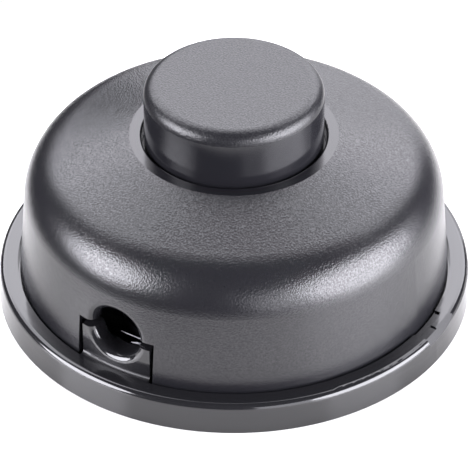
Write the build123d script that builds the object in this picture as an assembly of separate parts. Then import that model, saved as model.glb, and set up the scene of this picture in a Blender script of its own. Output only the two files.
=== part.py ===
from build123d import *
import math
import os

# In-line foot switch. Millimetres, Z up, origin at the centre of the underside.
# The two cord entries lie on -Y and +Y, the two pry notches on +X and -X.

# Cover: drafted wall, round shoulder and conical crown round the button
foot_radius = 29.85
wall = 2.0
wall_draft = 4.75
shoulder_start = 15.95
shoulder_radius = 7.5
crown_slope = 17.1
land_width = 1.65
hole_edge = 0.3

# Base: flat ring round the foot of the cover, floor, locating collar
ring_top = 4.5
ring_width = 2.47
ring_edge = 0.9
ring_draft = 3.5
foot_gap = 0.4
seat_top = 3.2
floor_top = 2.6
underside_recess = 0.6
stand_width = 3.0
collar_gap = 0.25
collar_wall = 1.2
collar_height = 3.6

# Pry notch in the ring
notch_near = 1.7
notch_far = 1.3
notch_depth = 0.22
notch_flat_far = 5.4
notch_flat_slope = 1.09
notch_pocket_width = 0.85
notch_pocket_far = 4.4
notch_pocket_depth = 0.3
cut_over = 1.0

# Snap hooks of the base and their pockets in the cover
hook_width = 8.0
hook_rise = 6.6
hook_nose = 0.7
hook_nose_height = 1.4
hook_play = 0.15
hook_window = 0.3

# Cord entry, half in a tab of the base and half in the cover
entry_height = 10.1
entry_radius = 3.6
entry_rim = 1.0
entry_split = 0.7
tab_drop = 0.4
tab_width = 10.8
tab_gap = 0.6
tab_foot = 0.35

# Push button
button_radius = 12.25
button_gap = 0.38
button_rise = 8.2
button_edge = 1.8
button_wall = 1.8
button_roof = 2.2
button_travel = 4.0
flange_width = 1.95
flange_height = 1.6
flange_play = 0.2
guide_gap = 0.4
guide_wall = 1.4
guide_clearance = 1.0
key_width = 2.4
key_reach = 1.1

# Plunger with its twisted spindle
stem_radius = 4.0
stem_fit = 0.05
boss_wall = 1.75
boss_drop = 9.4
stem_collar = 1.4
stem_collar_height = 1.4
spindle_radius = 4.0
spindle_core = 2.3
rib_width = 1.7
spindle_fit = 0.15
press_turn = 45.0

# Rotor with its contact bridge, on a bearing tube of the base
bearing_radius = 6.0
bearing_wall = 1.5
bearing_height = 4.0
bearing_fit = 0.06
bearing_lift = 0.1
rotor_skirt = 1.6
rotor_hub = 8.0
rotor_height = 7.2
disc_thickness = 2.4
bridge_thickness = 0.8
bridge_ring = 2.05
lug_width = 5.0
stake_radius = 0.7
stake_fit = 0.05
stake_head = 0.5

# Contacts and terminals
contact_radius = 10.6
contact_gap = 0.2
strip_thickness = 0.8
strip_width = 6.0
leaf_width = 4.0
lip_height = 2.6
rivet_head = 1.4
rivet_shank = 0.7
rivet_height = 0.45
rivet_fit = 0.05
terminal_inset = 6.2
link_length = 11.0
link_offset = 10.5
link_clearance = 1.0
terminal_spacing = 5.6
washer_side = 5.2
washer_thickness = 0.8

# Retainer plate over the rotor
plate_thickness = 1.6
plate_play = 0.4
plate_hub = 9.4
plate_end = 3.6
plate_bore_gap = 0.35
post_clearance = 0.3
post_radius = 2.6
post_angles = (135.0, 315.0)
spring_seat_height = 1.0
spring_seat_play = 0.4

# Return spring
spring_radius = 7.4
spring_wire = 1.0
spring_turns = 4.5
spring_play = 0.05

# Cord clamps
clamp_radius = 3.4
clamp_depth = 5.0
clamp_foot = 2.4
clamp_arch = 2.0
clamp_half_length = 10.2
clamp_screw_offset = 7.4
clamp_setback = 3.1

# Screws, one size throughout
screw_radius = 1.4
screw_hole_fit = 0.1
screw_head_radius = 2.4
screw_head_height = 1.6
screw_length = 5.0
screw_slot = 0.7
screw_end_gap = 0.2

# Derived places
draft = math.radians(wall_draft)
slope = math.radians(crown_slope)
ring_inner = foot_radius + foot_gap
ring_outer = ring_inner + ring_width
base_radius = ring_outer + ring_top * math.tan(math.radians(ring_draft))
hole_radius = button_radius + button_gap
land_radius = hole_radius + land_width
shoulder_foot = foot_radius - (shoulder_start - ring_top) * math.tan(draft)
shoulder_centre = (shoulder_foot - shoulder_radius * math.cos(draft),
                   shoulder_start - shoulder_radius * math.sin(draft))
collar_top = seat_top + collar_height
entry_top = entry_height + entry_split / 2
tab_top = entry_height - entry_split / 2 - tab_drop

bearing_top = floor_top + bearing_height
rotor_face = bearing_top + bearing_lift
rotor_top = rotor_face + rotor_height - rotor_skirt
rivet_gap_low = bearing_top + bearing_lift
strip_top = rivet_gap_low - rivet_height
strip_bottom = strip_top - strip_thickness
washer_top = strip_top + washer_thickness
bridge_bottom = rivet_gap_low + contact_gap + rivet_height
disc_bottom = bridge_bottom + bridge_thickness
disc_radius = contact_radius + rivet_head
plate_bottom = rotor_top + plate_play
plate_top = plate_bottom + plate_thickness
twist_rate = press_turn / button_travel


def wall_radius(height, inset=0.0):
    """Radius of the drafted wall at a height, or of the surface a distance inside it."""
    return foot_radius - (height - ring_top) * math.tan(draft) - inset / math.cos(draft)


def crown_height(radius, inset=0.0):
    """Height of the conical crown at a radius, or of the surface a distance inside it."""
    end_r = shoulder_centre[0] + (shoulder_radius - inset) * math.sin(slope)
    end_z = shoulder_centre[1] + (shoulder_radius - inset) * math.cos(slope)
    return end_z + (end_r - radius) * math.tan(slope)


collar_outer = wall_radius(collar_top, wall) - collar_gap
collar_inner = collar_outer - collar_wall
tab_radius = wall_radius(tab_top)
collar_middle = collar_outer - collar_wall / 2
land_top = crown_height(land_radius)
land_under = crown_height(land_radius, wall)
button_top = land_top + button_rise
flange_radius = button_radius + flange_width
flange_top = land_under - flange_play
flange_bottom = flange_top - flange_height
guide_inner = flange_radius + guide_gap
guide_outer = guide_inner + guide_wall
guide_bottom = flange_bottom - button_travel - guide_clearance
post_circle = guide_outer + screw_head_radius + post_clearance
roof_under = button_top - button_roof
boss_radius = stem_radius + stem_fit + boss_wall
boss_bottom = roof_under - boss_drop
spindle_bottom = floor_top + button_travel + plate_play
terminal_centre = collar_inner - terminal_inset
clamp_outer = collar_inner - clamp_setback
clamp_inner = clamp_outer - clamp_depth
clamp_seat = entry_height - entry_split / 2
link_outer = math.sqrt((collar_inner - link_clearance) ** 2 - (link_offset + link_length / 2) ** 2)
link_centre = link_outer - strip_width / 2
FROM_BELOW = (Align.CENTER, Align.CENTER, Align.MIN)
FROM_CORNER = (Align.MIN, Align.MIN, Align.MIN)
HALF_TURN = Rot(0, 0, 180)


def rod(radius, low, high, x=0.0, y=0.0):
    """Upright cylinder between two heights."""
    return Pos(x, y, low) * Cylinder(radius, high - low, align=FROM_BELOW)


def tube(inner, outer, low, high):
    """Upright tube between two heights."""
    return rod(outer, low, high) - rod(inner, low, high)


def block(x0, x1, y0, y1, z0, z1):
    """Box between two corners."""
    return Pos(x0, y0, z0) * Box(x1 - x0, y1 - y0, z1 - z0, align=FROM_CORNER)


def turned(face):
    """Solid of revolution about Z of a face drawn with radius as X and height as Y."""
    return revolve(Plane.XZ * face, Axis.Z)


def outlined(*points):
    """Face bounded by straight lines through the points."""
    return make_face(Polyline(*points, close=True))


def both_sides(shape):
    """The shape and its copy half a turn round Z."""
    return shape + HALF_TURN * shape


def shoulder_arc(inset):
    """Arc of the shoulder at a distance inside the outer surface, from wall to crown."""
    low = draft
    high = math.pi / 2 - slope
    radius = shoulder_radius - inset
    points = [(shoulder_centre[0] + radius * math.cos(a), shoulder_centre[1] + radius * math.sin(a))
              for a in (low, (low + high) / 2, high)]
    return ThreePointArc(*points)


def cover_shell():
    """Shell of even wall, with a smooth flat land round the button hole."""
    outer = shoulder_arc(0)
    inner = shoulder_arc(wall)
    outside = Polyline((hole_radius, land_top), (land_radius, land_top), outer @ 1)
    side = Line(outer @ 0, (wall_radius(seat_top), seat_top))
    foot = Polyline(side @ 1, (wall_radius(seat_top, wall), seat_top), inner @ 0)
    inside = Polyline(inner @ 1, (land_radius, land_under), (hole_radius, land_under),
                      (hole_radius, land_top))
    face = make_face([outside, outer, side, foot, inner, inside])
    lip = face.vertices().sort_by_distance((hole_radius, land_top))[0]
    return turned(fillet(lip, hole_edge))


def along_entry(radius):
    """Round bar along the axis of the cord hole on -Y, from the clamp outwards."""
    return Pos(0, -clamp_outer, entry_height) * Rot(90, 0, 0) * Cylinder(
        radius, base_radius - clamp_outer, align=FROM_BELOW)


def entry_bore(radius, lean):
    """Cord hole on -Y with a rounded rim that follows a wall, given its radius at the hole and its draft."""
    across = entry_radius + entry_rim + foot_gap
    low = entry_height - across
    high = entry_height + across
    change = across * math.tan(lean)
    body = turned(outlined((0, low), (radius + change, low), (radius - change, high), (0, high)))
    zone = along_entry(across)
    plug = (body & zone) - along_entry(entry_radius)
    mouth = plug.faces().sort_by(Axis.Y)[0].inner_wires()[0].edges()
    return zone - fillet(mouth, entry_rim)


def hook_nose_ring(play=0.0):
    """Ring whose section is the wedge of a snap nose, or its pocket when given play."""
    low = seat_top + hook_rise - play
    high = low + hook_nose_height + 2 * play
    reach = collar_outer + hook_nose + play
    if play:
        return tube(collar_middle, reach, low, high)
    return turned(outlined((collar_middle, low), (reach, low), (reach, low + hook_nose / 2),
                           (collar_outer, high), (collar_middle, high)))


def hook_zone(width, low, high):
    """Bar along X that picks the two snap hooks out of a ring."""
    return block(-base_radius, base_radius, -width / 2, width / 2, low, high)


def make_cover():
    """Upper housing moulding with button guide, entry cut-outs and snap pockets."""
    cover = cover_shell()
    guide = tube(guide_inner, guide_outer, guide_bottom, crown_height(guide_outer, wall / 2))
    key_half = key_width / 2 + guide_gap
    slots = block(-guide_outer, guide_outer, -key_half, key_half, guide_bottom, flange_top + flange_play)
    cover += guide - slots
    half = tab_width / 2 + tab_gap
    gate = block(-half, half, -base_radius, -collar_inner, 0, entry_top)
    pocket = hook_nose_ring(hook_play) & hook_zone(hook_width + 2 * hook_play, 0, button_top)
    return cover - both_sides(gate) - both_sides(entry_bore(wall_radius(entry_height), draft)) - pocket


def base_disc():
    """Floor, standing rim, seat, outer ring and locating collar, turned as one section."""
    face = outlined((0, underside_recess), (base_radius - stand_width, underside_recess),
                    (base_radius - stand_width, 0), (base_radius, 0), (ring_outer, ring_top),
                    (ring_inner, ring_top), (ring_inner, seat_top), (collar_outer, seat_top),
                    (collar_outer, collar_top), (collar_inner, collar_top), (collar_inner, floor_top),
                    (0, floor_top))
    rim = face.vertices().sort_by_distance((ring_outer, ring_top))[0]
    return turned(fillet(rim, ring_edge))


def entry_tab():
    """Upright tab in the wall of the cover, below the cord hole on -Y."""
    foot = seat_top - foot_gap
    root = ring_inner + foot_gap
    corner = (tab_radius, ring_top)
    face = outlined((collar_middle, foot), (root, foot), (root, ring_top), corner,
                    (tab_radius, tab_top), (collar_middle, tab_top))
    face = fillet(face.vertices().sort_by_distance(corner)[0], tab_foot)
    return turned(face) & block(-tab_width / 2, tab_width / 2, -base_radius, 0, 0, tab_top)


def pry_notch():
    """Slot for a screwdriver blade across the ring on +X, with a flat on the rim beside it."""
    end = base_radius + cut_over
    high = ring_top + cut_over
    floor = ring_top - notch_depth
    slot = outlined((ring_inner, floor), (end, floor), (end, high), (ring_inner, high))
    edge = ring_outer - ring_edge
    flat = outlined((edge, ring_top), (end, ring_top - notch_flat_slope * (end - edge)), (end, high),
                    (edge, high))
    pocket = tube(ring_inner - foot_gap / 2, ring_inner + notch_pocket_width,
                  ring_top - notch_pocket_depth, high)
    cuts = Part()
    for face, far in ((slot, notch_far), (flat, notch_flat_far)):
        cuts += Pos(0, far, 0) * extrude(Plane.XZ * face, notch_near + far)
    return cuts + (pocket & block(0, end, -notch_near, notch_pocket_far, 0, high))


def clamp_places():
    """Screw places of the clamp on -Y."""
    middle = -(clamp_inner + clamp_outer) / 2
    return [(-clamp_screw_offset, middle), (clamp_screw_offset, middle)]


def link_places(side):
    """Screw places of a two-screw link, side -1 near -Y and 1 near +Y."""
    step = terminal_spacing / 2
    return [(side * link_centre, side * (link_offset + shift)) for shift in (-step, step)]


def post_places():
    """Screw places of the retainer plate."""
    return [(post_circle * math.cos(math.radians(a)), post_circle * math.sin(math.radians(a)))
            for a in post_angles]


def terminal_places():
    """Screw places of all the terminals."""
    return [(-terminal_centre, 0), (terminal_centre, 0)] + link_places(-1) + link_places(1)


def turned_places(places):
    """The places and their copies half a turn round Z."""
    return places + [(-x, -y) for x, y in places]


def holes(places, low, high):
    """Clearance holes for screws."""
    return Part() + [rod(screw_radius + screw_hole_fit, low, high, x, y) for x, y in places]


def link_outline(side):
    """Plan of a two-screw link."""
    return Pos(side * link_centre, side * link_offset) * Rectangle(strip_width, link_length)


def pedestals():
    """Seats of the contact strips and of the two links."""
    seat = block(terminal_centre - strip_width / 2, collar_middle, -strip_width / 2, strip_width / 2,
                 floor_top, strip_bottom)
    seats = both_sides(seat)
    for side in (-1, 1):
        seats += Pos(0, 0, floor_top) * extrude(link_outline(side), strip_bottom - floor_top)
    return seats - holes(terminal_places(), floor_top, strip_bottom)


def make_base():
    """Lower housing moulding."""
    base = base_disc()
    arms = tube(collar_inner, collar_outer, floor_top, seat_top + hook_rise + hook_nose_height)
    base += (arms + hook_nose_ring()) & hook_zone(hook_width, floor_top, button_top)
    windows = tube(collar_outer, collar_outer + hook_nose + hook_window, 0, seat_top)
    base -= windows & hook_zone(hook_width + 2 * hook_window, 0, seat_top)
    base += both_sides(entry_tab())
    seat = block(-clamp_half_length, clamp_half_length, -clamp_outer, -clamp_inner, floor_top, clamp_seat)
    trough = Pos(0, -clamp_inner, entry_height) * Rot(90, 0, 0) * Cylinder(
        entry_radius, clamp_depth, align=FROM_BELOW)
    base += both_sides(seat - trough - holes(clamp_places(), clamp_seat - screw_length, clamp_seat))
    posts = Part() + [rod(post_radius, floor_top, plate_bottom, x, y) for x, y in post_places()]
    base += posts - holes(post_places(), plate_bottom - screw_length, plate_bottom)
    base += tube(bearing_radius - bearing_wall, bearing_radius, floor_top, bearing_top)
    base += pedestals()
    return base - both_sides(entry_bore(tab_radius, 0)) - both_sides(pry_notch())


def make_button():
    """Hollow cap with a retaining flange, a boss for the plunger and two keys."""
    cap = outlined((0, roof_under), (button_radius - button_wall, roof_under),
                   (button_radius - button_wall, flange_bottom), (flange_radius, flange_bottom),
                   (flange_radius, flange_top), (button_radius, flange_top), (button_radius, button_top),
                   (0, button_top))
    edge = cap.vertices().sort_by_distance((button_radius, button_top))[0]
    button = turned(fillet(edge, button_edge))
    button += tube(stem_radius + stem_fit, boss_radius, boss_bottom, roof_under)
    half = key_width / 2
    tip = flange_radius + key_reach
    key_top = crown_height(tip, wall) - flange_play
    key = block(flange_radius - flange_width / 2, tip, -half, half, flange_bottom, key_top)
    return button + both_sides(key)


def spindle_section(clearance):
    """Cross section with four ribs, grown by a clearance."""
    rib = Rectangle(2 * (spindle_radius + clearance), rib_width + 2 * clearance)
    return Circle(spindle_core + clearance) + rib + Rot(0, 0, 90) * rib


def twisted(clearance, low, high):
    """Ribbed section swept upwards while it turns at the drive's rate."""
    rise = high - low
    solid = Solid.extrude_linear_with_rotation(
        spindle_section(clearance).face(), (0, 0, 0), (0, 0, rise), twist_rate * rise)
    return Pos(0, 0, low) * Rot(0, 0, twist_rate * low) * Part(solid.wrapped)


def make_plunger():
    """Stem pressed into the button, with a stop collar and the twisted drive spindle below."""
    collar_low = boss_bottom - stem_collar_height
    stem = rod(stem_radius, boss_bottom, roof_under)
    stem += rod(stem_radius + stem_collar, collar_low, boss_bottom)
    return stem + twisted(0, spindle_bottom, collar_low)


def stake_places():
    """Stakes that hold the bridge, between its two lugs."""
    middle = rotor_hub + bridge_ring / 2
    return [(middle * math.cos(a), middle * math.sin(a))
            for a in (math.radians(90 - press_turn), math.radians(270 - press_turn))]


def make_rotor():
    """Hub and disc with the ribbed drive bore, turning on the bearing tube."""
    skirt_low = rotor_face - rotor_skirt
    rotor = rod(rotor_hub, skirt_low, rotor_top) + rod(disc_radius, disc_bottom, disc_bottom + disc_thickness)
    stake_low = bridge_bottom - stake_head
    rotor += [rod(stake_radius, stake_low, disc_bottom, x, y) for x, y in stake_places()]
    rotor -= rod(bearing_radius + bearing_fit, skirt_low, rotor_face)
    return rotor - twisted(spindle_fit, rotor_face, rotor_top)


def lug_places():
    """Contact points of the bridge at rest, a press turn away from the fixed contacts."""
    return [(contact_radius * math.cos(a), contact_radius * math.sin(a))
            for a in (math.radians(-press_turn), math.radians(180 - press_turn))]


def make_bridge():
    """Flat brass ring under the rotor disc with two contact lugs."""
    bore = rotor_hub + stake_fit
    ring = tube(bore, rotor_hub + bridge_ring, bridge_bottom, disc_bottom)
    lugs = block(-disc_radius, disc_radius, -lug_width / 2, lug_width / 2, bridge_bottom, disc_bottom)
    lugs = (Rot(0, 0, -press_turn) * lugs) & tube(bore, disc_radius, bridge_bottom, disc_bottom)
    bridge = ring + lugs
    bridge -= [rod(stake_radius + stake_fit, bridge_bottom, disc_bottom, x, y) for x, y in stake_places()]
    return bridge - [rod(rivet_shank + rivet_fit, bridge_bottom, disc_bottom, x, y) for x, y in lug_places()]


def rivet(sheet, up):
    """Contact rivet in a sheet, its head on the upper or the lower side."""
    head = rod(rivet_head, 0, rivet_height)
    shank = rod(rivet_shank, -sheet, 0)
    return head + shank if up else Rot(180, 0, 0) * (head + shank)


def make_bridge_rivets():
    """Contact rivets of the bridge, facing down."""
    return [Pos(x, y, bridge_bottom) * rivet(bridge_thickness, False) for x, y in lug_places()]


def make_contact_rivets():
    """Contact rivets of the two fixed strips, facing up."""
    return [Pos(x, 0, strip_top) * rivet(strip_thickness, True) for x in (-contact_radius, contact_radius)]


def make_strip():
    """Brass strip on +X: contact leaf, terminal pad and an upturned wire stop."""
    inner = contact_radius - leaf_width / 2 + rivet_fit
    outer = collar_inner - foot_gap
    pad = terminal_centre - strip_width / 2
    strip = block(inner, outer, -leaf_width / 2, leaf_width / 2, strip_bottom, strip_top)
    strip += block(pad, outer, -strip_width / 2, strip_width / 2, strip_bottom, strip_top)
    strip += block(outer - strip_thickness, outer, -strip_width / 2, strip_width / 2, strip_bottom,
                   strip_top + lip_height)
    strip -= rod(rivet_shank + rivet_fit, strip_bottom, strip_top, contact_radius)
    strip &= rod(collar_inner - foot_gap / 2, floor_top, button_top)
    return strip - holes([(terminal_centre, 0)], strip_bottom, strip_top)


def make_link(side):
    """Flat brass link with two screw places for cores that pass straight through."""
    link = Pos(0, 0, strip_bottom) * extrude(link_outline(side), strip_thickness)
    return link - holes(link_places(side), strip_bottom, strip_top)


def make_washers():
    """Square clamp washers under the terminal screws."""
    outline = Rectangle(washer_side, washer_side) - Circle(screw_radius + screw_hole_fit)
    plate = extrude(outline, washer_thickness)
    return [Pos(x, y, strip_top) * plate for x, y in terminal_places()]


def screws(places, seat, length=screw_length):
    """Slotted cheese-head screws standing on a seat height."""
    head = rod(screw_head_radius, 0, screw_head_height)
    head -= Pos(0, 0, screw_head_height) * Box(2 * screw_head_radius, screw_slot, screw_head_height)
    screw = head + rod(screw_radius, -length, 0)
    return [Pos(x, y, seat) * screw for x, y in places]


def make_plate():
    """Retainer bridge that holds the rotor down and seats the return spring."""
    outline = Circle(plate_hub)
    for x, y in post_places():
        outline += Pos(x, y) * Circle(plate_end)
    outline = make_hull(outline.edges())
    outline -= Circle(spindle_radius + plate_bore_gap)
    plate = Pos(0, 0, plate_bottom) * extrude(outline, plate_thickness)
    seat = spring_radius - spring_wire / 2 - spring_seat_play
    plate += tube(spindle_radius + plate_bore_gap, seat, plate_top, plate_top + spring_seat_height)
    return plate - holes(post_places(), plate_bottom, plate_top)


def make_spring():
    """Compression spring between the retainer plate and the roof of the button."""
    low = plate_top + spring_wire / 2 + spring_play
    rise = roof_under - spring_wire / 2 - spring_play - low
    coil = Helix(rise / spring_turns, rise, spring_radius)
    section = Plane(coil @ 0, z_dir=coil % 0) * RegularPolygon(spring_wire / 2, 8)
    return Pos(0, 0, low) * sweep(section, path=coil, is_frenet=True)


def make_clamp():
    """Arched strain relief bar over the cord on -Y."""
    arch = clamp_radius + clamp_arch
    foot = clamp_seat + clamp_foot
    profile = Pos(0, (clamp_seat + foot) / 2) * Rectangle(2 * clamp_half_length, clamp_foot)
    profile += Pos(0, entry_height) * Circle(arch)
    profile &= Pos(0, clamp_seat + arch) * Rectangle(2 * clamp_half_length, 2 * arch)
    profile -= Pos(0, entry_height) * Circle(clamp_radius)
    bar = Pos(0, -clamp_inner, 0) * extrude(Plane.XZ * profile, clamp_depth)
    return bar - holes(clamp_places(), clamp_seat, foot)


def main():
    """Build every node and write one STEP file for each."""
    strip = make_strip()
    clamp = make_clamp()
    nodes = {
        "base": make_base(),
        "cover": make_cover(),
        "push_button": make_button(),
        "plunger": make_plunger(),
        "return_spring": make_spring(),
        "rotor": make_rotor(),
        "contact_bridge": make_bridge(),
        "bridge_rivets": make_bridge_rivets(),
        "retainer_plate": make_plate(),
        "retainer_screws": screws(post_places(), plate_top),
        "line_contact_in": strip,
        "line_contact_out": HALF_TURN * strip,
        "contact_rivets": make_contact_rivets(),
        "neutral_link": make_link(-1),
        "earth_link": make_link(1),
        "terminal_washers": make_washers(),
        "terminal_screws": screws(terminal_places(), washer_top, washer_top - floor_top - screw_end_gap),
        "cord_clamp_front": clamp,
        "cord_clamp_rear": HALF_TURN * clamp,
        "clamp_screws": screws(turned_places(clamp_places()), clamp_seat + clamp_foot),
    }
    os.makedirs("parts", exist_ok=True)
    for name, shape in nodes.items():
        solids = shape if isinstance(shape, list) else [shape]
        export_step(Compound(children=solids), f"parts/{name}.step")


main()
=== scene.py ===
import math
from collections import namedtuple

import bmesh
import bpy
from bpy.props import FloatProperty, FloatVectorProperty, PointerProperty
from bpy.types import Operator, Panel, PropertyGroup
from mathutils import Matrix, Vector


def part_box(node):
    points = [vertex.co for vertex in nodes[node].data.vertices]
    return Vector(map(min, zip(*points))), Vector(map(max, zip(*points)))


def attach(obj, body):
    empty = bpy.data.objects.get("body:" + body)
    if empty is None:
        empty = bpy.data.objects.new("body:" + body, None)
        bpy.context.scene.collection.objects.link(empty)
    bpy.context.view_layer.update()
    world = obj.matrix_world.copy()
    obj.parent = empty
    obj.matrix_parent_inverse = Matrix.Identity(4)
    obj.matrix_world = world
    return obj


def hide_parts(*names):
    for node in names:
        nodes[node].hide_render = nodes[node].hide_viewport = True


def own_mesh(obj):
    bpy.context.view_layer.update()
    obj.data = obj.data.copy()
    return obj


bl_info = {
    "name": "Foot switch looks",
    "version": (1, 0, 0),
    "blender": (4, 5, 0),
    "location": "View3D > Sidebar > Foot switch",
    "description": "Finishes, light and camera for a round in-line foot switch",
    "category": "Object",
}

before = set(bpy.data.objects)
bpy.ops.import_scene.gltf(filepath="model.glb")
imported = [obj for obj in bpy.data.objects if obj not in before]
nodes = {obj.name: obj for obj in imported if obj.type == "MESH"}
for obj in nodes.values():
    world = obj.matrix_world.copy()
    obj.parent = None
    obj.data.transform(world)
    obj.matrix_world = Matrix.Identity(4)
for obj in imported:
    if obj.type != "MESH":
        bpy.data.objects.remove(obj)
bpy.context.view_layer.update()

MM = 0.001

# Borders of the grain, fitted to the part's source
LAND_RADIUS = 14.28 * MM
ENTRY_HEIGHT = 10.1 * MM
RIM_RADIUS = 4.55 * MM
GRAIN_DROP = 1.75 * MM
GRAIN_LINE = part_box("push_button")[1].z - GRAIN_DROP
EDGE_BLUR = 0.06 * MM

# Shoulder of the cover, as in the part's source, and the share of the grain's depth left on the wall below,
# because a drafted wall leaves the mould only with a shallower grain
SHOULDER_START = 15.95 * MM
SHOULDER_END = 22.5 * MM
WALL_DEPTH = 0.55

# Corner at the foot of the tabs, fitted to the part's source, and the roughness added there
FOOT_RADIUS = 29.9 * MM
FOOT_TOP = 4.8 * MM
DULLER = 0.35

# Refractive indices: ABS for the cover, polypropylene for the button, phenolic resin for base and clamps,
# polyamide for the drive
ABS_IOR = 1.52
POLYPROPYLENE_IOR = 1.48
PHENOLIC_IOR = 1.6
POLYAMIDE_IOR = 1.53

# Share of light that goes into the polyamide, and how far
MILKY_SHARE = 0.25
MILKY_DEPTH = 0.8 * MM

# Noise: mean, usual swing to both sides, finer layers in the craters of the grain and in other marks
NOISE_MEAN = 0.5
NOISE_SWING = 0.2
CRATER_DETAIL = 1.0
MARK_DETAIL = 2.0

# Specular level that leaves the index as it is
PLAIN_SPECULAR = 0.5

# Return spring, as in the part's source, with the turns after which its ends begin to open and are open
SPRING_WIRE = 1.0 * MM
SPRING_TURNS = 4.5
CLOSED_TURNS = 0.7
OPEN_TURNS = 1.2

# Fineness of the meshes
STEPS_A_TURN = 54
WIRE_SIDES = 16
PLATE_SEGMENTS = 128

# Mould flash in the front cord hole: points and radii in millimetres, from the root to the tip.
# It stands for the light line and the glints that the photo shows there.
# The flash's light grey colour is a painted highlight: it brightens the line and the glints beyond what the
# plastic's sheen gives.
FLASH_LINES = {
    "mould_flash_long": [((4.3, -28.0, 10.5), 0.11), ((3.9, -28.0, 9.98), 0.09),
                         ((3.0, -27.99, 9.9), 0.08), ((2.2, -28.0, 9.91), 0.07),
                         ((1.2, -28.02, 9.92), 0.06), ((0.33, -28.0, 9.95), 0.03)],
    "mould_flash_short": [((3.6, -28.0, 9.1), 0.13), ((2.9, -28.01, 9.0), 0.14),
                          ((2.3, -28.0, 8.8), 0.1), ((1.8, -27.98, 8.66), 0.04)],
}

# Scale of the coordinates along drawn-out marks, which come out that much longer
DRAW_OUT = 1 / 40

# Camera: width of the sensor in millimetres, nearest and farthest point shown in metres
SENSOR_WIDTH = 36.0
CLIP_NEAR = 0.01
CLIP_FAR = 20.0

WHITE = (1.0, 1.0, 1.0, 1.0)

# Marks: function that lays them, width, depth and range of roughness
Marks = namedtuple("Marks", "lie width depth gloss")

# Lights: shape, turn from the camera to its right, rise, width and height in degrees as seen from the switch,
# distance in metres, radiance
Softbox = namedtuple("Softbox", "shape turn rise width height far radiance")
SOFTBOXES = {
    "right_softbox": Softbox("ELLIPSE", 64.0, 13.0, 60.0, 50.0, 0.5, 11.0),
    "right_panel": Softbox("RECTANGLE", 58.0, 9.0, 96.0, 46.0, 0.55, 3.8),
    "left_softbox": Softbox("ELLIPSE", -70.0, 19.0, 46.0, 42.0, 0.8, 15.5),
    "back_softbox": Softbox("RECTANGLE", 179.5, 35.0, 83.0, 20.0, 0.8, 5.8),
    "top_softbox": Softbox("RECTANGLE", 179.0, 62.0, 84.0, 34.0, 0.8, 4.1),
    "back_card": Softbox("RECTANGLE", 168.0, 8.0, 44.0, 30.0, 1.2, 2.2),
}


def linear(code):
    """Linear RGB of an sRGB hex colour."""
    parts = [int(code[i:i + 2], 16) / 255 for i in (1, 3, 5)]
    return tuple(c / 12.92 if c <= 0.04045 else ((c + 0.055) / 1.055) ** 2.4 for c in parts)


def colour_property(name, description, code):
    """Colour property whose default is an sRGB hex colour."""
    return FloatVectorProperty(name=name, description=description, subtype="COLOR", size=3,
                               min=0.0, max=1.0, default=linear(code))


class FootSwitchFinish(PropertyGroup):
    """Colours and grain of the mouldings and of the metal pieces."""
    cover_colour: colour_property("Cover", "Colour of the grained mouldings", "#19191c")
    base_colour: colour_property("Base", "Colour of the polished base", "#1a1a1c")
    # The flash's light grey is a painted highlight for its glints in the cord hole.
    flash_glint_colour: colour_property("Flash", "Colour of the thin, whitened mould flash", "#737377")
    mechanism_colour: colour_property("Mechanism", "Colour of the natural polyamide", "#e2dccb")
    spring_colour: colour_property("Spring", "Colour of the spring steel", "#a7a8aa")
    zinc_colour: colour_property("Screws", "Colour of the zinc plating", "#b9bcc0")
    brass_colour: colour_property("Brass", "Colour of the brass strips", "#c9a659")
    silver_colour: colour_property("Contacts", "Colour of the silver alloy", "#d9d8d4")
    # A real crater is about 0.1 mm wide, less than a pixel of the photo, so this one is coarser
    grain_width: FloatProperty(name="Grain width",
                               description="Width of one crater of the spark-eroded grain",
                               subtype="DISTANCE", unit="LENGTH", default=0.24 * MM, min=0.05 * MM,
                               max=2 * MM)
    grain_depth: FloatProperty(name="Grain depth", description="Depth of the spark-eroded grain",
                               subtype="DISTANCE", unit="LENGTH", default=0.05 * MM, min=0.0, max=0.5 * MM)
    pit_shade: FloatProperty(name="Pit shade", description="How much less the pits of the grain mirror",
                             subtype="FACTOR", default=0.16, min=0.0, max=0.5)
    cover_roughness: FloatProperty(name="Cover gloss", description="Roughness of the cover's grained surface",
                                   subtype="FACTOR", default=0.26, min=0.0, max=1.0)
    button_roughness: FloatProperty(name="Button gloss",
                                    description="Roughness of the button's grained surface",
                                    subtype="FACTOR", default=0.32, min=0.0, max=1.0)
    smooth_roughness: FloatProperty(name="Smooth gloss", description="Roughness of the smooth surface",
                                    subtype="FACTOR", default=0.16, min=0.0, max=1.0)


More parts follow.
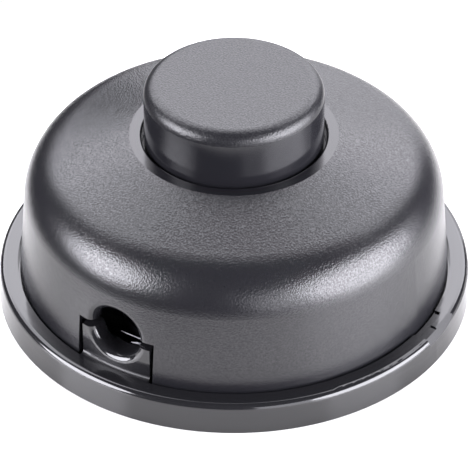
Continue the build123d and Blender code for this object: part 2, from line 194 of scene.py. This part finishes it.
class FootSwitchStage(PropertyGroup):
    """Camera, floor and studio light."""
    azimuth: FloatProperty(name="Azimuth", description="Direction of the camera round the switch",
                           subtype="ANGLE", unit="ROTATION", default=math.radians(33.0))
    elevation: FloatProperty(name="Elevation", description="Height of the camera above the horizon",
                             subtype="ANGLE", unit="ROTATION", default=math.radians(38.42))
    distance: FloatProperty(name="Distance", description="Camera distance from the centre of the underside",
                            subtype="DISTANCE", unit="LENGTH", default=456 * MM, min=0.1)
    aim_height: FloatProperty(name="Aim height", description="Height on the axis that the camera looks at",
                              subtype="DISTANCE", unit="LENGTH", default=7.8 * MM)
    aim_side: FloatProperty(name="Aim side", description="Sideways shift of the point looked at",
                            subtype="DISTANCE", unit="LENGTH", default=0.13 * MM)
    lens: FloatProperty(name="Lens", description="Focal length in millimetres on a 36 mm sensor",
                        default=247.9, min=20.0)
    plate_radius: FloatProperty(name="Plate radius", description="Radius of the turntable",
                                subtype="DISTANCE", unit="LENGTH", default=82 * MM, min=0.04)
    plate_side: FloatProperty(name="Plate side", description="Shift of the turntable to the camera's right",
                              subtype="DISTANCE", unit="LENGTH", default=21 * MM)
    plate_back: FloatProperty(name="Plate back", description="Shift of the turntable away from the camera",
                              subtype="DISTANCE", unit="LENGTH", default=12 * MM)
    plate_thickness: FloatProperty(name="Plate thickness", description="Thickness of the turntable",
                                   subtype="DISTANCE", unit="LENGTH", default=5 * MM, min=0.001)
    floor_colour: colour_property("Floor", "Colour of the turntable", "#efeeea")
    floor_roughness: FloatProperty(name="Floor gloss", description="Roughness of the turntable",
                                   subtype="FACTOR", default=0.12, min=0.0, max=1.0)
    floor_glow: FloatProperty(name="Floor glow",
                              description="White added to the floor where it is seen or mirrored",
                              default=0.1, min=0.0)
    room_light: FloatProperty(name="Room light", description="Brightness of the room round the switch",
                              default=0.06, min=0.0)
    light_colour: colour_property("Light", "Colour of the softboxes", "#f8f7ff")


def settings(context):
    """The two property groups of the scene."""
    return context.scene.foot_switch_finish, context.scene.foot_switch_stage


def add(tree, kind, values=None, links=None):
    """Adds a node, sets its values by attribute or input socket and links its input sockets."""
    made = tree.nodes.new(kind)
    for name, value in (values or {}).items():
        if isinstance(name, str) and hasattr(made, name):
            setattr(made, name, value)
        else:
            made.inputs[name].default_value = value
    for name, source in (links or {}).items():
        tree.links.new(source, made.inputs[name])
    return made


def rgba(colour):
    """Colour with full opacity."""
    return (*colour, 1.0)


def start_material(name):
    """New node material, still empty, and its tree."""
    made = bpy.data.materials.new(name)
    made.use_nodes = True
    made.node_tree.nodes.clear()
    return made, made.node_tree


def spark_eroded(name, finish, ior, roughness, grain_mask):
    """Moulding from a spark-eroded tool: soft craters that break up every highlight, dimmer in the pits.

    grain_mask adds the nodes that tell the grained surface, 1, from the polished one, 0, and the share of
    the grain's depth.
    """
    material, tree = start_material(name)
    place = add(tree, "ShaderNodeTexCoord").outputs["Object"]
    grained, depth = grain_mask(tree, place)
    craters = add(tree, "ShaderNodeTexNoise", {"Scale": 1 / finish.grain_width, "Detail": CRATER_DETAIL},
                  {"Vector": place})
    swing = add(tree, "ShaderNodeMath", {"operation": "SUBTRACT", 1: NOISE_MEAN}, {0: craters.outputs["Fac"]})
    lift = add(tree, "ShaderNodeMath", {"operation": "MULTIPLY"}, {0: swing.outputs[0], 1: depth})
    relief = add(tree, "ShaderNodeBump", {"Distance": finish.grain_depth}, {"Height": lift.outputs[0]})
    gloss = add(tree, "ShaderNodeMapRange", {"To Min": finish.smooth_roughness, "To Max": roughness},
                {"Value": grained})
    pits = add(tree, "ShaderNodeMapRange",
               {"From Min": -NOISE_SWING, "From Max": NOISE_SWING,
                "To Min": PLAIN_SPECULAR - finish.pit_shade, "To Max": PLAIN_SPECULAR + finish.pit_shade},
               {"Value": lift.outputs[0]})
    surface = add(tree, "ShaderNodeBsdfPrincipled", {"Base Color": rgba(finish.cover_colour), "IOR": ior},
                  {"Roughness": gloss.outputs[0], "Specular IOR Level": pits.outputs[0],
                   "Normal": relief.outputs["Normal"]})
    add(tree, "ShaderNodeOutputMaterial", links={"Surface": surface.outputs["BSDF"]})
    return material


def distance_from_axis(tree, place, axis, point):
    """Distance from a line along X, Y or Z through a point."""
    across = [0.0 if i == axis else 1.0 for i in range(3)]
    offset = add(tree, "ShaderNodeVectorMath", {"operation": "SUBTRACT", 1: point}, {0: place})
    flat = add(tree, "ShaderNodeVectorMath", {"operation": "MULTIPLY", 1: across}, {0: offset.outputs[0]})
    length = add(tree, "ShaderNodeVectorMath", {"operation": "LENGTH"}, {0: flat.outputs[0]})
    return length.outputs["Value"]


def beyond(tree, value, edge):
    """0 below an edge and 1 above it."""
    ramp = add(tree, "ShaderNodeMapRange", {"From Min": edge - EDGE_BLUR, "From Max": edge + EDGE_BLUR},
               {"Value": value})
    return ramp.outputs[0]


def cover_grain(tree, place):
    """Grained but for the land round the button and the rims of the cord holes, shallower on the wall."""
    land = beyond(tree, distance_from_axis(tree, place, 2, (0, 0, 0)), LAND_RADIUS)
    rim = beyond(tree, distance_from_axis(tree, place, 1, (0, 0, ENTRY_HEIGHT)), RIM_RADIUS)
    grained = add(tree, "ShaderNodeMath", {"operation": "MULTIPLY"}, {0: land, 1: rim})
    split = add(tree, "ShaderNodeSeparateXYZ", links={"Vector": place})
    share = add(tree, "ShaderNodeMapRange",
                {"From Min": SHOULDER_START, "From Max": SHOULDER_END, "To Min": WALL_DEPTH},
                {"Value": split.outputs["Z"]})
    depth = add(tree, "ShaderNodeMath", {"operation": "MULTIPLY"},
                {0: grained.outputs[0], 1: share.outputs[0]})
    return grained.outputs[0], depth.outputs[0]


def button_grain(tree, place):
    """Grained on the top and its rounded edge, smooth on the side."""
    split = add(tree, "ShaderNodeSeparateXYZ", links={"Vector": place})
    grained = beyond(tree, split.outputs["Z"], GRAIN_LINE)
    return grained, grained


def even(tree, place):
    """Coordinates for marks with no direction."""
    return place


def rolled(tree, place):
    """Coordinates that draw marks out along X, the rolling direction of the strip."""
    drawn = add(tree, "ShaderNodeVectorMath", {"operation": "MULTIPLY", 1: (DRAW_OUT, 1.0, 1.0)}, {0: place})
    return drawn.outputs[0]


def round_axis(tree, place):
    """Coordinates that draw marks out round the axis of the switch."""
    split = add(tree, "ShaderNodeSeparateXYZ", links={"Vector": place})
    section = add(tree, "ShaderNodeCombineXYZ",
                  links={"X": distance_from_axis(tree, place, 2, (0, 0, 0)), "Z": split.outputs["Z"]})
    drawn = add(tree, "ShaderNodeVectorMath", {"operation": "MULTIPLY_ADD", 1: (DRAW_OUT, DRAW_OUT, 0)},
                {0: place, 2: section.outputs[0]})
    return drawn.outputs[0]


# Turned and polished tool: faint streaks round the axis
TURNED = Marks(round_axis, 0.7 * MM, 0.009 * MM, (0.06, 0.16))
# Flow of the melt: faint clouds
MELTED = Marks(even, 1.2 * MM, 0.01 * MM, (0.34, 0.5))
# Flash torn thin at the parting line: uneven gloss
FLASHED = Marks(even, 0.2 * MM, 0.01 * MM, (0.2, 0.4))
# Drawn wire: lines along the wire
DRAWN = Marks(round_axis, 0.12 * MM, 0.003 * MM, (0.2, 0.38))
# Rolled strip: fine lines along X
STRIP = Marks(rolled, 0.15 * MM, 0.003 * MM, (0.2, 0.38))
# Coined rivets: soft dimples
COINED = Marks(even, 0.3 * MM, 0.004 * MM, (0.22, 0.4))
# Zinc plating: mottled sheen
PLATED = Marks(even, 0.2 * MM, 0.002 * MM, (0.2, 0.42))


def unpolished(tree, place):
    """1 inside the base and in the corner at the foot of its tabs, 0 where the tool could be polished."""
    split = add(tree, "ShaderNodeSeparateXYZ", links={"Vector": place})
    outside = beyond(tree, distance_from_axis(tree, place, 2, (0, 0, 0)), FOOT_RADIUS)
    above = beyond(tree, split.outputs["Z"], FOOT_TOP)
    either = add(tree, "ShaderNodeMath", {"operation": "MAXIMUM"}, {0: outside, 1: above})
    rest = add(tree, "ShaderNodeMath", {"operation": "SUBTRACT", 0: 1.0}, {1: either.outputs[0]})
    return rest.outputs[0]


def marked(name, marks, values, dull_mask=None):
    """Surface with marks: gloss and relief follow a noise in the coordinates of the marks.

    dull_mask adds the nodes that tell the duller surface, 1, from the rest, 0.
    """
    material, tree = start_material(name)
    place = add(tree, "ShaderNodeTexCoord").outputs["Object"]
    noise = add(tree, "ShaderNodeTexNoise", {"Scale": 1 / marks.width, "Detail": MARK_DETAIL},
                {"Vector": marks.lie(tree, place)})
    relief = add(tree, "ShaderNodeBump", {"Distance": marks.depth}, {"Height": noise.outputs["Fac"]})
    gloss = add(tree, "ShaderNodeMapRange",
                {"From Min": NOISE_MEAN - NOISE_SWING, "From Max": NOISE_MEAN + NOISE_SWING,
                 "To Min": marks.gloss[0], "To Max": marks.gloss[1]},
                {"Value": noise.outputs["Fac"]})
    roughness = gloss.outputs[0]
    if dull_mask:
        duller = add(tree, "ShaderNodeMath", {"operation": "MULTIPLY_ADD", 1: DULLER},
                     {0: dull_mask(tree, place), 2: roughness})
        roughness = duller.outputs[0]
    surface = add(tree, "ShaderNodeBsdfPrincipled", values,
                  {"Roughness": roughness, "Normal": relief.outputs["Normal"]})
    add(tree, "ShaderNodeOutputMaterial", links={"Surface": surface.outputs["BSDF"]})
    return material


def polished_phenolic(name, finish):
    """Phenolic from a polished tool: deep gloss with faint streaks round the axis, dull in the corners."""
    return marked(name, TURNED, {"Base Color": rgba(finish.base_colour), "IOR": PHENOLIC_IOR}, unpolished)


def natural_polyamide(name, finish):
    """Natural polyamide: milky and slightly matt, with a faint flow of the melt."""
    return marked(name, MELTED, {"Base Color": rgba(finish.mechanism_colour), "IOR": POLYAMIDE_IOR,
                                 "Subsurface Weight": MILKY_SHARE, "Subsurface Scale": MILKY_DEPTH})


def metal(name, colour, marks):
    """Bare or plated metal whose gloss shows how it was formed."""
    return marked(name, marks, {"Base Color": rgba(colour), "Metallic": 1.0})


def dress(material, *names):
    """Gives CAD nodes a material in each of their slots."""
    for name in names:
        for place in nodes[name].material_slots:
            place.material = material


class FOOTSWITCH_OT_cover(Operator):
    """Finish the grained cover"""
    bl_idname = "footswitch.cover"
    bl_label = "Cover"

    def execute(self, context):
        finish, _ = settings(context)
        plastic = spark_eroded("ABS_spark_eroded", finish, ABS_IOR, finish.cover_roughness, cover_grain)
        dress(plastic, "cover")
        return {"FINISHED"}


class FOOTSWITCH_OT_button(Operator):
    """Finish the push button"""
    bl_idname = "footswitch.button"
    bl_label = "Push button"

    def execute(self, context):
        finish, _ = settings(context)
        plastic = spark_eroded("polypropylene_spark_eroded", finish, POLYPROPYLENE_IOR,
                               finish.button_roughness, button_grain)
        dress(plastic, "push_button")
        return {"FINISHED"}


class FOOTSWITCH_OT_base(Operator):
    """Finish the polished base"""
    bl_idname = "footswitch.base"
    bl_label = "Base"

    def execute(self, context):
        finish, _ = settings(context)
        dress(polished_phenolic("phenolic_polished_base", finish), "base")
        return {"FINISHED"}


class FOOTSWITCH_OT_clamps(Operator):
    """Finish the two cord clamps"""
    bl_idname = "footswitch.clamps"
    bl_label = "Cord clamps"

    def execute(self, context):
        finish, _ = settings(context)
        dress(polished_phenolic("phenolic_polished_clamp", finish), "cord_clamp_front", "cord_clamp_rear")
        return {"FINISHED"}


class FOOTSWITCH_OT_drive(Operator):
    """Finish the plunger, the rotor and the plate that holds them"""
    bl_idname = "footswitch.drive"
    bl_label = "Drive"

    def execute(self, context):
        finish, _ = settings(context)
        dress(natural_polyamide("polyamide_natural", finish), "plunger", "rotor", "retainer_plate")
        return {"FINISHED"}


class FOOTSWITCH_OT_spring(Operator):
    """Wind the return spring as a fixed coil; the real one shortens as the button goes down"""
    bl_idname = "footswitch.spring"
    bl_label = "Return spring"

    def execute(self, context):
        finish, _ = settings(context)
        low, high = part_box("return_spring")
        half = SPRING_WIRE / 2
        points = self.centre_line(high.x - half, low.z + half, high.z - half)
        mesh = wire_mesh("return_spring_coil", points, [half] * len(points), WIRE_SIDES)
        mesh.materials.append(metal("steel_drawn_wire", finish.spring_colour, DRAWN))
        spring = link_object("return_spring_coil", mesh)
        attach(spring, "housing")
        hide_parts("return_spring")
        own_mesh(spring)
        return {"FINISHED"}

    def centre_line(self, radius, low, high):
        """Points along the wire: the end turns lie close to the next ones, the rest rises evenly."""
        count = round(SPRING_TURNS * STEPS_A_TURN)
        step = SPRING_TURNS / count
        turns = [(i + 0.5) * step for i in range(count)]
        opened = [smooth_step(CLOSED_TURNS, OPEN_TURNS, t) *
                  smooth_step(CLOSED_TURNS, OPEN_TURNS, SPRING_TURNS - t) for t in turns]
        extra = (high - low - SPRING_TURNS * SPRING_WIRE) / (sum(opened) * step)
        height = low
        points = [Vector((radius, 0, low))]
        for i, share in enumerate(opened):
            height += step * (SPRING_WIRE + extra * share)
            a = 2 * math.pi * step * (i + 1)
            points.append(Vector((radius * math.cos(a), radius * math.sin(a), height)))
        return points


class FOOTSWITCH_OT_flash(Operator):
    """Leave thin mould flash at the parting line of the front cord hole"""
    bl_idname = "footswitch.flash"
    bl_label = "Mould flash"

    def execute(self, context):
        finish, _ = settings(context)
        # Light grey flash colour: painted highlight for the glints in the cord hole
        material = marked("ABS_mould_flash_painted_glint", FLASHED,
                          {"Base Color": rgba(finish.flash_glint_colour), "IOR": ABS_IOR})
        for name, line in FLASH_LINES.items():
            points = [MM * Vector(point) for point, _ in line]
            mesh = wire_mesh(name, points, [radius * MM for _, radius in line], WIRE_SIDES)
            mesh.materials.append(material)
            sliver = link_object(name, mesh)
            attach(sliver, "housing")
        return {"FINISHED"}


class FOOTSWITCH_OT_contacts(Operator):
    """Finish the brass strips and their silver rivets"""
    bl_idname = "footswitch.contacts"
    bl_label = "Contacts"

    def execute(self, context):
        finish, _ = settings(context)
        brass = metal("brass_rolled_strip", finish.brass_colour, STRIP)
        dress(brass, "contact_bridge", "line_contact_in", "line_contact_out", "neutral_link", "earth_link")
        silver = metal("silver_alloy_coined", finish.silver_colour, COINED)
        dress(silver, "bridge_rivets", "contact_rivets")
        return {"FINISHED"}


class FOOTSWITCH_OT_fasteners(Operator):
    """Finish the screws and washers"""
    bl_idname = "footswitch.fasteners"
    bl_label = "Screws and washers"

    def execute(self, context):
        finish, _ = settings(context)
        zinc = metal("steel_zinc_plated", finish.zinc_colour, PLATED)
        dress(zinc, "retainer_screws", "terminal_screws", "clamp_screws", "terminal_washers")
        return {"FINISHED"}


def smooth_step(start, end, value):
    """0 before start, 1 after end and a smooth rise between them."""
    share = min(max((value - start) / (end - start), 0.0), 1.0)
    return share * share * (3 - 2 * share)


def wire_mesh(name, points, radii, sides):
    """Mesh of a round wire through points, with a radius at each one and closed ends."""
    verts, faces = [], []
    last = len(points) - 1
    for i, (point, radius) in enumerate(zip(points, radii)):
        ahead = points[min(i + 1, last)] - points[max(i - 1, 0)]
        side = ahead.cross(Vector((0, 0, 1))).normalized()
        rise = side.cross(ahead).normalized()
        for k in range(sides):
            a = 2 * math.pi * k / sides
            verts.append(point + radius * (math.cos(a) * side + math.sin(a) * rise))
    for i in range(last):
        for k in range(sides):
            m = (k + 1) % sides
            faces.append((i * sides + k, i * sides + m, (i + 1) * sides + m, (i + 1) * sides + k))
    faces.append(tuple(reversed(range(sides))))
    faces.append(tuple(last * sides + k for k in range(sides)))
    mesh = bpy.data.meshes.new(name)
    mesh.from_pydata(verts, [], faces)
    mesh.shade_smooth()
    return mesh


def camera_axes(stage):
    """Unit vectors of the photo's camera: to its right, level towards it, and up the axis of the switch."""
    a = stage.azimuth
    right = Vector((math.cos(a), math.sin(a), 0))
    towards = Vector((math.sin(a), -math.cos(a), 0))
    return right, towards, Vector((0, 0, 1))


def link_object(name, data):
    """New object in the scene's collection."""
    made = bpy.data.objects.new(name, data)
    bpy.context.scene.collection.objects.link(made)
    return made


def aim(thing, target):
    """Turns a light or camera to look at a point."""
    thing.rotation_mode = "QUATERNION"
    thing.rotation_quaternion = (target - thing.location).to_track_quat("-Z", "Y")


class FOOTSWITCH_OT_stage(Operator):
    """Build floor, light and camera"""
    bl_idname = "footswitch.stage"
    bl_label = "Stage"

    def execute(self, context):
        _, stage = settings(context)
        context.scene.view_settings.view_transform = "Standard"
        self.floor(stage)
        self.world(context.scene, stage)
        for name, box in SOFTBOXES.items():
            self.softbox(stage, name, box)
        self.camera(context.scene, stage)
        return {"FINISHED"}

    def floor(self, stage):
        """White acrylic turntable: mirrors the lights and stays white where it is seen or mirrored."""
        mesh = bpy.data.meshes.new("turntable")
        plate = bmesh.new()
        bmesh.ops.create_cone(plate, cap_ends=True, segments=PLATE_SEGMENTS, radius1=stage.plate_radius,
                              radius2=stage.plate_radius, depth=stage.plate_thickness)
        right, towards, up = camera_axes(stage)
        centre = stage.plate_side * right - stage.plate_back * towards - stage.plate_thickness / 2 * up
        bmesh.ops.translate(plate, verts=plate.verts, vec=centre)
        plate.to_mesh(mesh)
        plate.free()
        material, tree = start_material("acrylic_white")
        path = add(tree, "ShaderNodeLightPath")
        seen = add(tree, "ShaderNodeMath", {"operation": "MAXIMUM"},
                   {0: path.outputs["Is Camera Ray"], 1: path.outputs["Is Glossy Ray"]})
        shown = add(tree, "ShaderNodeMath", {"operation": "MAXIMUM"},
                    {0: seen.outputs[0], 1: path.outputs["Is Transmission Ray"]})
        glow = add(tree, "ShaderNodeMath", {"operation": "MULTIPLY", 1: stage.floor_glow},
                   {0: shown.outputs[0]})
        surface = add(tree, "ShaderNodeBsdfPrincipled",
                      {"Base Color": rgba(stage.floor_colour), "Roughness": stage.floor_roughness,
                       "Emission Color": WHITE},
                      {"Emission Strength": glow.outputs[0]})
        add(tree, "ShaderNodeOutputMaterial", links={"Surface": surface.outputs["BSDF"]})
        mesh.materials.append(material)
        link_object("turntable", mesh)

    def world(self, scene, stage):
        """White where the camera sees past the floor, a dim room for everything else."""
        scene.world = bpy.data.worlds.new("studio")
        scene.world.use_nodes = True
        tree = scene.world.node_tree
        tree.nodes.clear()
        path = add(tree, "ShaderNodeLightPath")
        level = add(tree, "ShaderNodeMapRange", {"To Min": stage.room_light, "To Max": 1.0},
                    {"Value": path.outputs["Is Camera Ray"]})
        room = add(tree, "ShaderNodeBackground", {"Color": WHITE}, {"Strength": level.outputs[0]})
        add(tree, "ShaderNodeOutputWorld", links={"Surface": room.outputs[0]})

    def softbox(self, stage, name, box):
        """Area light aimed at the switch."""
        right, towards, up = camera_axes(stage)
        turn, rise = math.radians(box.turn), math.radians(box.rise)
        data = bpy.data.lights.new(name, "AREA")
        data.shape = box.shape
        data.size = 2 * box.far * math.tan(math.radians(box.width / 2))
        data.size_y = 2 * box.far * math.tan(math.radians(box.height / 2))
        fill = math.pi / 4 if box.shape == "ELLIPSE" else 1.0
        data.energy = box.radiance * math.pi * data.size * data.size_y * fill
        data.color = stage.light_colour
        light = link_object(name, data)
        level = math.sin(turn) * right + math.cos(turn) * towards
        light.location = box.far * (math.cos(rise) * level + math.sin(rise) * up)
        aim(light, Vector())
        light.visible_camera = False

    def camera(self, scene, stage):
        """Camera of the photo."""
        right, towards, up = camera_axes(stage)
        data = bpy.data.cameras.new("photo_camera")
        data.sensor_width = SENSOR_WIDTH
        data.lens = stage.lens
        data.clip_start = CLIP_NEAR
        data.clip_end = CLIP_FAR
        camera = link_object("photo_camera", data)
        rise = stage.elevation
        camera.location = stage.distance * (math.cos(rise) * towards + math.sin(rise) * up)
        aim(camera, stage.aim_side * right + stage.aim_height * up)
        scene.camera = camera


class FOOTSWITCH_PT_sidebar(Panel):
    """Sidebar panel of the foot switch"""
    bl_idname = "FOOTSWITCH_PT_sidebar"
    bl_label = "Foot switch"
    bl_space_type = "VIEW_3D"
    bl_region_type = "UI"
    bl_category = "Foot switch"

    def draw(self, context):
        for piece in PIECES:
            self.layout.operator(piece.bl_idname)


PIECES = (FOOTSWITCH_OT_cover, FOOTSWITCH_OT_button, FOOTSWITCH_OT_base, FOOTSWITCH_OT_clamps,
          FOOTSWITCH_OT_drive, FOOTSWITCH_OT_spring, FOOTSWITCH_OT_flash, FOOTSWITCH_OT_contacts,
          FOOTSWITCH_OT_fasteners, FOOTSWITCH_OT_stage)
CLASSES = (FootSwitchFinish, FootSwitchStage) + PIECES + (FOOTSWITCH_PT_sidebar,)


def register():
    for cls in CLASSES:
        bpy.utils.register_class(cls)
    bpy.types.Scene.foot_switch_finish = PointerProperty(type=FootSwitchFinish)
    bpy.types.Scene.foot_switch_stage = PointerProperty(type=FootSwitchStage)


def unregister():
    del bpy.types.Scene.foot_switch_stage
    del bpy.types.Scene.foot_switch_finish
    for cls in reversed(CLASSES):
        bpy.utils.unregister_class(cls)


def main():
    """Builds every piece and the stage."""
    register()
    bpy.ops.footswitch.cover()
    bpy.ops.footswitch.button()
    bpy.ops.footswitch.base()
    bpy.ops.footswitch.clamps()
    bpy.ops.footswitch.drive()
    bpy.ops.footswitch.spring()
    bpy.ops.footswitch.flash()
    bpy.ops.footswitch.contacts()
    bpy.ops.footswitch.fasteners()
    bpy.ops.footswitch.stage()


if __name__ == "__main__":
    main()
